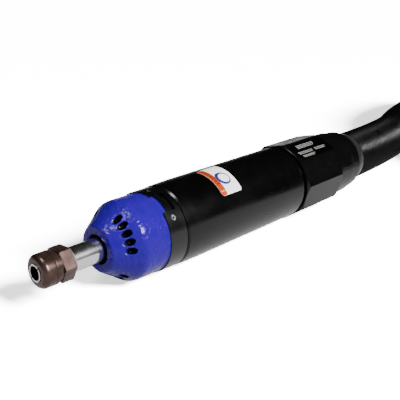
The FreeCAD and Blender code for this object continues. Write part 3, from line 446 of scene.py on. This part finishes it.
class Finish:
    """One material: a Principled shader and what is placed in front of it."""

    def __init__(self, name, color, metallic=0.0, roughness=0.5, **sockets):
        self.name = name
        self.material = bpy.data.materials.new(name)
        self.material.use_nodes = True
        self.nodes = self.material.node_tree.nodes
        self.links = self.material.node_tree.links
        self.shader = self.nodes["Principled BSDF"]
        self.shader.inputs["Base Color"].default_value = (*color, 1.0)
        self.shader.inputs["Metallic"].default_value = metallic
        self.shader.inputs["Roughness"].default_value = roughness
        for label, value in sockets.items():
            self.shader.inputs[label.replace("_", " ")].default_value = value

    def group(self, tree, **values):
        """One use of a shared group, with its own values."""
        node = self.nodes.new("ShaderNodeGroup")
        node.node_tree = tree
        for label, value in values.items():
            node.inputs[label].default_value = value
        return node

    def bump(self, tree, strength, distance, **values):
        """Relief from a group's Height, on top of any relief already there."""
        node = self.nodes.new("ShaderNodeBump")
        node.inputs["Strength"].default_value = strength
        node.inputs["Distance"].default_value = distance
        source = self.group(tree, **values)
        self.links.new(source.outputs["Height"], node.inputs["Height"])
        socket = self.shader.inputs["Normal"]
        if socket.links:
            self.links.new(socket.links[0].from_socket, node.inputs["Normal"])
        self.links.new(node.outputs["Normal"], socket)
        return self

    def patches(self, socket, low, high, scale=60.0):
        """Uneven value on one of the shader's sockets."""
        node = self.group(BLOTCH, Scale=scale, Low=low, High=high)
        self.links.new(node.outputs["Value"], self.shader.inputs[socket])
        return self

    def tones(self, dark, light, scale):
        """Base colour that drifts between two tones."""
        node = self.group(BLOTCH, Scale=scale, Low=0.0, High=1.0)
        mix = self.nodes.new("ShaderNodeMix")
        mix.data_type = "RGBA"
        mix.inputs["A"].default_value = (*dark, 1.0)
        mix.inputs["B"].default_value = (*light, 1.0)
        self.links.new(node.outputs["Value"], mix.inputs["Factor"])
        self.links.new(mix.outputs["Result"], self.shader.inputs["Base Color"])
        return self

    def cover(self, mask, color):
        """Base colour replaced where the mask socket is 1."""
        mix = self.nodes.new("ShaderNodeMix")
        mix.data_type = "RGBA"
        socket = self.shader.inputs["Base Color"]
        if socket.links:
            self.links.new(socket.links[0].from_socket, mix.inputs["A"])
        else:
            mix.inputs["A"].default_value = socket.default_value
        mix.inputs["B"].default_value = (*color, 1.0)
        self.links.new(mask, mix.inputs["Factor"])
        self.links.new(mix.outputs["Result"], socket)
        return self

    def paint_hollow_shade(self):
        """Painted shade: near-black base colour in hollows, by how deep the mesh says they lie."""
        depth = self.nodes.new("ShaderNodeAttribute")
        depth.attribute_name = "inside"
        return self.cover(depth.outputs["Fac"], HOLLOW_PAINTED_SHADE)


def finishes():
    """Every material of the tool, by a maker's name for it."""
    steel = Finish("polished_steel", (0.80, 0.80, 0.80), 1.0, 0.18)
    steel.patches("Roughness", 0.13, 0.24, 90.0).bump(LATHE, 0.12, FINE)
    ground = Finish("ground_steel", (0.60, 0.60, 0.62), 1.0, 0.3)
    ground.patches("Roughness", 0.22, 0.36).bump(LATHE, 0.12, FINE)
    bronze = Finish("burnished_nut", (0.06, 0.034, 0.028), 0.75, 0.3)
    bronze.tones((0.045, 0.025, 0.02), (0.085, 0.052, 0.043), 180.0)
    bronze.patches("Roughness", 0.20, 0.36, 140.0).bump(LATHE, 0.12, FINE).bump(
        GRAIN, 0.1, FINE, Scale=2500.0)
    # The boss behind this station is painted light silver grey as a highlight.
    boss_highlight = bronze.group(REGION, Back=NUT_HIGHLIGHT_FROM)
    bronze.cover(boss_highlight.outputs["Behind"], (0.62, 0.60, 0.58))
    collet = Finish("collet_steel", (0.70, 0.69, 0.68), 1.0, 0.22)
    collet.patches("Roughness", 0.16, 0.30).bump(LATHE, 0.1, FINE)
    # The collet's bore and the inner part of its front face are painted near black as shade.
    bore = collet.group(REGION, Radius=COLLET_SHADED_BORE, Back=EVERYWHERE)
    collet.cover(bore.outputs["Inside"], (0.002, 0.002, 0.002))
    blue = Finish("blue_coat", (0.016, 0.0, 0.19), 0.0, 0.18, Specular_IOR_Level=0.16)
    # The cap's hollows and vents get painted shade, a near-black base colour set by depth.
    blue.tones((0.013, 0.0, 0.175), (0.018, 0.0, 0.205), 220.0).paint_hollow_shade()
    blue.bump(GRAIN, 0.8, COARSE, Scale=700.0, Detail=2.0)
    black = Finish("black_coat", (0.0008, 0.0008, 0.0008), 0.0, 0.24, Specular_IOR_Level=0.34)
    black.patches("Roughness", 0.18, 0.28).bump(GRAIN, 0.32, MEDIUM, Scale=1300.0)
    ring = Finish("black_ring", (0.0012, 0.0012, 0.0012), 0.0, 0.24, Specular_IOR_Level=0.5)
    ring.patches("Roughness", 0.20, 0.32).bump(GRAIN, 0.18, MEDIUM, Scale=1300.0)
    grip = Finish("black_grip", (0.0016, 0.0016, 0.0017), 0.0, 0.22, Specular_IOR_Level=0.28)
    grip.patches("Roughness", 0.16, 0.28, 120.0).bump(GRAIN, 0.2, MEDIUM, Scale=1500.0)
    plate = Finish("plate_enamel", (0.0005, 0.0005, 0.0005), 0.0, 0.22, Specular_IOR_Level=0.15)
    plate.patches("Roughness", 0.18, 0.28).bump(GRAIN, 0.05, FINE)
    print_grey = Finish("plate_marks", (0.16, 0.155, 0.15), 0.0, 0.4)
    print_grey.tones((0.10, 0.10, 0.10), (0.24, 0.23, 0.22), 900.0)
    rubber = Finish("hose_rubber", (0.0012, 0.0012, 0.0013), 0.0, 0.3, Specular_IOR_Level=0.12)
    rubber.patches("Roughness", 0.26, 0.38, 90.0).bump(GRAIN, 0.15, MEDIUM, Scale=1800.0)
    cuff = Finish("cuff_rubber", (0.012, 0.012, 0.012), 0.0, 0.34, Specular_IOR_Level=0.4)
    cuff.patches("Roughness", 0.28, 0.42, 90.0).bump(GRAIN, 0.15, MEDIUM, Scale=1500.0)
    seal = Finish("seal_rubber", (0.015, 0.015, 0.015), 0.0, 0.5)
    seal.patches("Roughness", 0.42, 0.6).bump(GRAIN, 0.1, FINE)
    film = Finish("label_film", (0.86, 0.86, 0.86), 0.0, 0.32)
    film.tones((0.82, 0.82, 0.82), (0.90, 0.90, 0.90), 300.0).bump(GRAIN, 0.06, FINE)
    orange = Finish("label_orange", (0.36, 0.035, 0.003), 0.0, 0.34)
    orange.tones((0.30, 0.028, 0.002), (0.42, 0.045, 0.004), 300.0).bump(GRAIN, 0.06, FINE)
    yellow = Finish("label_yellow", (0.85, 0.55, 0.02), 0.0, 0.34)
    yellow.tones((0.80, 0.50, 0.015), (0.88, 0.60, 0.03), 300.0).bump(GRAIN, 0.06, FINE)
    ink = Finish("label_blue", (0.001, 0.015, 0.12), 0.0, 0.34)
    ink.tones((0.001, 0.012, 0.10), (0.002, 0.02, 0.15), 300.0).bump(GRAIN, 0.06, FINE)
    print_dark = Finish("label_print", (0.10, 0.012, 0.004), 0.0, 0.36)
    print_dark.tones((0.06, 0.008, 0.003), (0.16, 0.02, 0.006), 900.0)
    alloy = Finish("turned_alloy", (0.62, 0.62, 0.64), 1.0, 0.34)
    alloy.patches("Roughness", 0.26, 0.42).bump(LATHE, 0.2, FINE)
    dark_alloy = Finish("blackened_alloy", (0.03, 0.03, 0.032), 0.6, 0.4)
    dark_alloy.patches("Roughness", 0.34, 0.48).bump(LATHE, 0.15, FINE)
    iron = Finish("bored_iron", (0.20, 0.20, 0.21), 1.0, 0.45)
    iron.patches("Roughness", 0.36, 0.56).bump(GRAIN, 0.3, MEDIUM, Scale=1200.0)
    composite = Finish("vane_composite", (0.20, 0.10, 0.04), 0.0, 0.5)
    composite.tones((0.16, 0.08, 0.03), (0.27, 0.15, 0.07), 400.0).bump(GRAIN, 0.2, MEDIUM)
    brass = Finish("cage_brass", (0.75, 0.55, 0.22), 1.0, 0.3)
    brass.patches("Roughness", 0.24, 0.38).bump(LATHE, 0.1, FINE)
    return {f.name: f.material for f in (
        steel, ground, bronze, collet, blue, black, ring, grip, plate, print_grey, rubber, cuff,
        seal, film, orange, yellow, print_dark, ink, alloy, dark_alloy, iron, composite, brass)}


NODE_FINISH = {
    "polished_steel": (
        "spindle", "air_inlet_nipple", "front_bearing_balls", "rear_bearing_balls"),
    "ground_steel": (
        "front_bearing_outer_races", "front_bearing_inner_races", "rear_bearing_outer_race",
        "rear_bearing_inner_race", "spindle_spacer", "rear_lock_nut", "rotor", "preload_washer",
        "cylinder_dowel", "detent_ball", "detent_spring", "retaining_ring", "inlet_strainer",
        "throttle_pin"),
    "burnished_nut": ("collet_nut",),
    "collet_steel": ("collet",),
    "blue_coat": ("nose_cap",),
    "black_coat": ("handle_sleeve",),
    "black_ring": ("front_ring",),
    "black_grip": ("throttle_sleeve", "hose_collar"),
    "cuff_rubber": ("hose_end_cuff", "hose_cuff"),
    "plate_enamel": ("spec_plate",),
    "hose_rubber": ("exhaust_hose", "exhaust_hose_coil", "air_hose"),
    "seal_rubber": ("sleeve_seals", "spool_seals"),
    "label_film": ("body_label",),
    "turned_alloy": ("motor_casing", "inlet_bushing", "valve_seat"),
    "blackened_alloy": ("backhead",),
    "bored_iron": ("front_ring_screws", "cylinder_liner", "front_end_plate", "rear_end_plate"),
    "vane_composite": ("vanes",),
    "cage_brass": ("front_bearing_cages", "rear_bearing_cage", "valve_spool"),
}


def paint(piece, material):
    """Give the piece this material and no other."""
    piece.data.materials.clear()
    piece.data.materials.append(material)


def paint_nodes(look):
    """Give every CAD piece its material."""
    for finish, members in NODE_FINISH.items():
        for name in members:
            paint(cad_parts[name], look[finish])


# ---------------------------------------------------------------- label and plate

def dress(piece, body, material):
    """Give a piece made here its body and material."""
    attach(piece, body)
    paint(piece, material)
    return piece


def make_label(look):
    """Warning sticker: white film, an orange band at its front edge and plain marks."""
    base, top = SLEEVE_RADIUS, SLEEVE_RADIUS + FILM_THICKNESS
    first, (lowest, highest) = LABEL_STATIONS[0], LABEL_ANGLES
    film = curved_patch("label_sheet", LABEL_STATIONS, LABEL_ANGLES, base, top, LABEL_CORNER)
    dress(film, "housing", look["label_film"])
    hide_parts("body_label")
    band = curved_patch("label_band", (first + BAND_START, first + BAND_END),
                        (lowest + BAND_INSET, highest - BAND_INSET),
                        base, top + INK_RISE, BAND_CORNER)
    dress(band, "housing", look["label_orange"])
    symbol = ring_patch("label_symbol", SYMBOL_STATION, SYMBOL_ANGLE, SYMBOL_OUTER, SYMBOL_INNER,
                        top - SYMBOL_ROOT, top + INK_RISE, SYMBOL_LEAN)
    dress(symbol, "housing", look["label_blue"])
    triangle = triangle_patch("label_triangle", TRIANGLE_STATION, TRIANGLE_ANGLE, TRIANGLE_SIZE,
                              top, top + TRIANGLE_RISE)
    dress(triangle, "housing", look["label_yellow"])
    near, far = BAR_STATIONS
    verts, faces = [], []
    for k in range(BAR_COUNT):
        start = BAR_FIRST + BAR_PITCH * k
        for radius in (top, top + BAR_RISE):
            for station, turn in ((near, 0.0), (far, 0.0), (far, BAR_TURN), (near, BAR_TURN)):
                verts.append(polar(station, radius, start + turn))
        faces += box_faces(8 * k)
    dress(add_mesh("label_bars", verts, faces), "housing", look["label_print"])


def ring_patch(name, station, angle, outer, inner, low, high, lean):
    """Flat ring (mm) wrapped on the body, its hole moved by lean along and around."""
    sides = RING_SIDES
    verts = []
    for radius in (low, high):
        for size, (ahead, around) in ((inner, lean), (outer, (0.0, 0.0))):
            for k in range(sides):
                turn = 2 * math.pi * k / sides
                shift = math.degrees((size * math.sin(turn) + around) * MM / radius)
                verts.append(polar(station + size * math.cos(turn) + ahead, radius, angle + shift))
    faces = []
    a, b, c, d = 0, sides, 2 * sides, 3 * sides
    for k in range(sides):
        n = (k + 1) % sides
        faces.append((c + k, d + k, d + n, c + n))
        faces.append((a + k, a + n, b + n, b + k))
        faces.append((b + k, b + n, d + n, d + k))
        faces.append((a + k, c + k, c + n, a + n))
    return add_mesh(name, verts, faces)


def triangle_patch(name, station, angle, size, low, high):
    """Small warning triangle (mm) wrapped on the body."""
    verts = []
    for radius in (low, high):
        for k in range(3):
            turn = 2 * math.pi * k / 3
            shift = math.degrees(size * math.cos(turn) * MM / radius)
            verts.append(polar(station + size * math.sin(turn), radius, angle + shift))
    faces = [(3, 4, 5), (2, 1, 0)]
    faces += [(k, (k + 1) % 3, 3 + (k + 1) % 3, 3 + k) for k in range(3)]
    return add_mesh(name, verts, faces)


def flat_bar(station, across, length, width, low, high):
    """Corners of a bar (mm) that lies on the plate's flat, its top smaller than its foot."""
    turn = Matrix.Rotation(math.radians(PLATE_ANGLE - 90.0), 3, "X")
    verts = []
    for height in (low, high):
        grow = 0.0 if height == low else -MARK_TAPER
        for x, y in ((0, -1), (1, -1), (1, 1), (0, 1)):
            along = FACE_X - (station + length * x) * MM + grow * (1 if x == 0 else -1)
            side = -across * MM - y * (width * MM / 2 + grow)
            verts.append(turn @ Vector((along, side, height)))
    return verts


def make_plate_marks(look):
    """Rows of plain bars on the spec plate, with no lettering."""
    chance = random.Random(PLATE_SEED)
    low, high = FLAT_HEIGHT - MARK_FOOT, FLAT_HEIGHT - MARK_TOP
    verts, faces = [], []
    for start, end, across, width in PLATE_ROWS:
        station = start
        while station < end:
            length = min(chance.uniform(*MARK_LENGTHS), end - station)
            if length > SHORTEST_MARK:
                faces += box_faces(len(verts))
                verts += flat_bar(station, across, length, width, low, high)
            station += length + chance.uniform(*MARK_GAPS)
    dress(add_mesh("plate_bars", verts, faces), "throttle", look["plate_marks"])


# ---------------------------------------------------------------- nose cap

def cap_depth(point):
    """How far a point of the nose cap lies under its outer face, cone and rim."""
    station, radius = FACE_X - point.x, math.hypot(point.y, point.z)
    (front, face), (cone_end, rim) = CAP_FACE, CAP_RIM
    rise, run = rim - face, cone_end - front
    cone = ((station - front) * rise - (radius - face) * run) / math.hypot(rise, run)
    return min(station - front, cone, rim - radius)


def make_cap(look):
    """Nose cap with the soft lumps of a thick coat over a cast skin."""
    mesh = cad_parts["nose_cap"].data.copy()
    piece = bpy.data.objects.new("nose_cap_coat", mesh)
    bpy.context.scene.collection.objects.link(piece)
    remesh = piece.modifiers.new("even_skin", "REMESH")
    remesh.mode = "VOXEL"
    remesh.voxel_size = CAP_VOXEL
    soften = piece.modifiers.new("soft_edges", "SMOOTH")
    soften.factor = SOFTEN_FACTOR
    soften.iterations = SOFTEN_ROUNDS
    graph = bpy.context.evaluated_depsgraph_get()
    skin = bpy.data.meshes.new_from_object(piece.evaluated_get(graph))
    piece.modifiers.clear()
    piece.data = skin
    normals = [v.normal.copy() for v in skin.vertices]
    # How deep each point lies in a hollow; this sets where painted shade darkens the coat.
    depths = skin.attributes.new("inside", "FLOAT", "POINT")
    for vertex, depth in zip(skin.vertices, depths.data):
        below = cap_depth(vertex.co) / MM
        depth.value = min(1.0, max(0.0, (below - HOLLOW_START) / HOLLOW_FADE))
    for vertex, normal in zip(skin.vertices, normals):
        place = vertex.co
        radius = math.hypot(place.y, place.z)
        if radius <= LUMPY_FROM:
            continue
        outward = Vector((1.0, place.y / radius, place.z / radius))
        if normal.dot(outward) > FACING_OUT:
            lump = noise.noise(place * COARSE_LUMPS)
            lump += FINE_SHARE * noise.noise(place * FINE_LUMPS)
            vertex.co = place + normal * (lump * LUMP_HEIGHT * MM - LUMP_SINK * MM)
    skin.shade_smooth()
    dress(piece, "housing", look["blue_coat"])
    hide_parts("nose_cap")


# ---------------------------------------------------------------- studio

def area_light(name, place, size, power):
    """Soft box of a width and height, turned to the tool."""
    data = bpy.data.lights.new(name, "AREA")
    data.shape = "RECTANGLE"
    data.size, data.size_y = size
    data.energy = power
    light = bpy.data.objects.new(name, data)
    bpy.context.scene.collection.objects.link(light)
    light.location = place
    turn_towards(light, Vector(LIGHT_AIM) - Vector(place))


def make_sky():
    """Dim studio walls and ceiling round the tool, with a white backdrop behind the floor."""
    world = bpy.data.worlds.new("studio")
    world.use_nodes = True
    bpy.context.scene.world = world
    nodes, links = world.node_tree.nodes, world.node_tree.links
    place = nodes.new("ShaderNodeTexCoord")
    split = nodes.new("ShaderNodeSeparateXYZ")
    ramp = nodes.new("ShaderNodeValToRGB")
    ramp.color_ramp.interpolation = "EASE"
    low, high = ramp.color_ramp.elements
    low.position, low.color = HORIZON_LEVEL, (*SKY_HORIZON, 1.0)
    high.position, high.color = ZENITH_LEVEL, (*SKY_ZENITH, 1.0)
    links.new(place.outputs["Generated"], split.inputs["Vector"])
    links.new(split.outputs["Z"], ramp.inputs["Fac"])
    seen = nodes.new("ShaderNodeLightPath")
    backdrop = nodes.new("ShaderNodeMix")
    backdrop.data_type = "RGBA"
    backdrop.inputs["B"].default_value = (*BACKDROP, 1.0)
    links.new(seen.outputs["Is Camera Ray"], backdrop.inputs["Factor"])
    links.new(ramp.outputs["Color"], backdrop.inputs["A"])
    links.new(backdrop.outputs["Result"], nodes["Background"].inputs["Color"])


def make_floor():
    """Floor that is white to the camera, yet throws little light on the tool from below."""
    corners = [(FLOOR_REACH * x, FLOOR_REACH * y, FLOOR_Z)
               for x, y in ((-1, -1), (1, -1), (1, 1), (-1, 1))]
    floor = add_mesh("floor", corners, [(0, 1, 2, 3)])
    paper = Finish("white_floor", (FLOOR_SHOWN, FLOOR_SHOWN, FLOOR_SHOWN), 0.0, 0.8,
                   Specular_IOR_Level=0.0, Emission_Strength=FLOOR_GLOW)
    seen = paper.nodes.new("ShaderNodeLightPath")
    for socket, unseen, shown in (("Base Color", FLOOR_BOUNCE, FLOOR_SHOWN),
                                  ("Emission Color", 0.0, 1.0)):
        mix = paper.nodes.new("ShaderNodeMix")
        mix.data_type = "RGBA"
        for label, value in (("A", unseen), ("B", shown)):
            mix.inputs[label].default_value = (value, value, value, 1.0)
        paper.links.new(seen.outputs["Is Camera Ray"], mix.inputs["Factor"])
        paper.links.new(mix.outputs["Result"], paper.shader.inputs[socket])
    paint(floor, paper.material)
    return floor


def light_floor(floor):
    """Lamp that lights the floor alone."""
    lamp = bpy.data.lights.new("floor_wash", "SUN")
    lamp.energy, lamp.angle = WASH_POWER, math.radians(WASH_SPREAD)
    wash = bpy.data.objects.new("floor_wash", lamp)
    bpy.context.scene.collection.objects.link(wash)
    turn_towards(wash, -Vector(WASH_FROM))
    floor_only = bpy.data.collections.new("floor_only")
    floor_only.objects.link(floor)
    wash.light_linking.receiver_collection = floor_only


def make_studio():
    """Floor, surroundings, soft boxes and the floor's own lamp."""
    floor = make_floor()
    make_sky()
    for name, place, size, power in SOFT_BOXES:
        area_light(name, place, size, power)
    light_floor(floor)


make_camera()
hose = make_hose()
look = finishes()
paint(hose, look["hose_rubber"])
paint_nodes(look)
make_label(look)
make_plate_marks(look)
make_cap(look)
make_studio()
